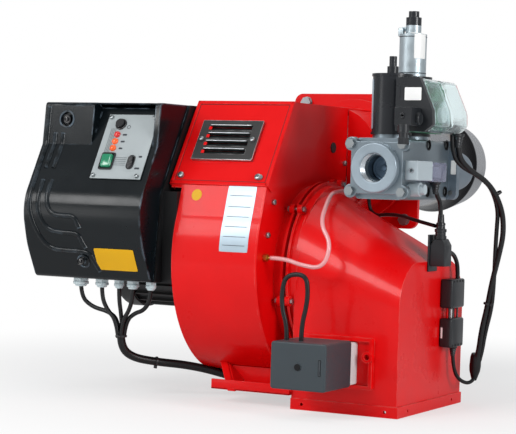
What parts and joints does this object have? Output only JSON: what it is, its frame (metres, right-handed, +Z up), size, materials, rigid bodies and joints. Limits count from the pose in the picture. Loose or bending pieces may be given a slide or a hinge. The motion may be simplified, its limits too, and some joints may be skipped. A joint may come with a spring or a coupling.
{
  "type": "industrial gas burner",
  "caption": "Forced-draught gas burner with scroll fan housing, air box with servo damper, solenoid gas train, sloping control box and stainless blast tube on a square boiler flange.",
  "frame": {"origin": "burner axis at the boiler side of the mounting flange gasket", "axes": "+Y along the blast tube into the boiler, +X towards the gas train, +Z up"},
  "size_m": [0.7261, 0.935, 0.648],
  "materials": {
    "black_plastic": "satin",
    "brass": "plain",
    "bronze": "plain",
    "button_black": "gloss",
    "cable_black": "satin",
    "ceramic": "glazed",
    "clear_hood": "clear",
    "coil_black": "satin",
    "control_panel": "satin",
    "dial_white": "satin",
    "gasket_fibre": "matt",
    "gland_grey": "satin",
    "grey_plastic": "satin",
    "hose_clear": "satin",
    "lamp_orange": "gloss",
    "lamp_red": "gloss",
    "motor_black": "satin",
    "panel_blue": "satin",
    "red_paint": "gloss",
    "rocker_green": "gloss",
    "rubber": "matt",
    "servo_base_plastic": "matt",
    "servo_cover_plastic": "matt",
    "silver_trim": "satin",
    "stainless": "polished",
    "steel_inner": "plain",
    "switch_green": "matt",
    "valve_aluminium": "cast",
    "zinc_steel": "zinc plated"
  },
  "bodies": {
    "burner": {"air_box": "red_paint", "air_pressure_switch": "black_plastic", "blast_tube": "stainless", "burner_controller": "black_plastic", "cable_glands": "gland_grey", "clamp_bolts": "zinc_steel", "coil_adjuster": "black_plastic", "coil_plug": "black_plastic", "connectors": "black_plastic", "control_bezels": "black_plastic", "control_plate": "control_panel", "cover_screws": "zinc_steel", "damper_bushes": "bronze", "electrodes": "ceramic", "fan_housing": "red_paint", "fault_lamp": "lamp_red", "flame_disc": "steel_inner", "flange_gasket": "gasket_fibre", "flange_plate": "red_paint", "foot_bracket": "red_paint", "front_cover": "red_paint", "gas_elbow": "valve_aluminium", "gas_head_pipe": "steel_inner", "gas_leads": "cable_black", "hose_nipple": "brass", "hydraulic_brake": "valve_aluminium", "ignition_transformer": "black_plastic", "inlet_flange": "valve_aluminium", "louvre_grille": "silver_trim", "motor_body": "motor_black", "motor_fan_cover": "motor_black", "mounting_bolts": "zinc_steel", "panel_base": "black_plastic", "panel_cover": "panel_blue", "panel_leads": "cable_black", "pilot_plug": "grey_plastic", "plug_box": "black_plastic", "pressure_hose": "hose_clear", "rubber_seals": "rubber", "run_lamps": "lamp_orange", "servo_base": "servo_base_plastic", "servo_cover": "servo_cover_plastic", "servo_leads": "cable_black", "side_panel": "red_paint", "switch_bases": "switch_green", "switch_hoods": "clear_hood", "terminal_box": "black_plastic", "terminal_strip": "gland_grey", "valve_block": "valve_aluminium", "valve_coils": "coil_black"},
    "fan": {"impeller": "steel_inner", "motor_shaft": "steel_inner"},
    "damper": {"damper_flap": "steel_inner", "damper_shaft": "steel_inner"},
    "reset": {"reset_button": "button_black"},
    "power_key": {"power_rocker": "rocker_green"},
    "stage_key": {"stage_rocker": "black_plastic"},
    "flow_cap": {"brake_cap": "black_plastic"},
    "min_dial": {"dial_min": "dial_white"},
    "max_dial": {"dial_max": "dial_white"}
  },
  "joints": [
    {"name": "fan_spin", "type": "hinge", "parent": "burner", "child": "fan", "pos_m": [0, -0.236, -0.192], "axis": [1, 0, 0], "continuous": true},
    {"name": "damper_turn", "type": "hinge", "parent": "burner", "child": "damper", "pos_m": [0.1615, -0.38, -0.314], "axis": [0, 1, 0], "range_deg": [0, 90]},
    {"name": "reset_press", "type": "slide", "parent": "burner", "child": "reset", "axis": [0, 0.8763, -0.4818], "range_m": [0, 0.003], "stiffness_N_per_m": 600, "springref_m": -0.001},
    {"name": "power_switch", "type": "hinge", "parent": "burner", "child": "power_key", "pos_m": [-0.241, -0.46342, -0.01704], "axis": [1, 0, 0], "range_deg": [-16, 0]},
    {"name": "stage_switch", "type": "hinge", "parent": "burner", "child": "stage_key", "pos_m": [-0.195, -0.4639, -0.01792], "axis": [1, 0, 0], "range_deg": [-16, 0]},
    {"name": "flow_adjust", "type": "hinge", "parent": "burner", "child": "flow_cap", "pos_m": [0.222, -0.283, 0.217], "axis": [0, 0, 1], "range_deg": [0, 270]},
    {"name": "min_pressure_set", "type": "hinge", "parent": "burner", "child": "min_dial", "pos_m": [0.27, -0.3575, 0.073], "axis": [1, 0, 0], "range_deg": [0, 270]},
    {"name": "max_pressure_set", "type": "hinge", "parent": "burner", "child": "max_dial", "pos_m": [0.27, -0.2845, 0.073], "axis": [1, 0, 0], "range_deg": [0, 270]}
  ]
}
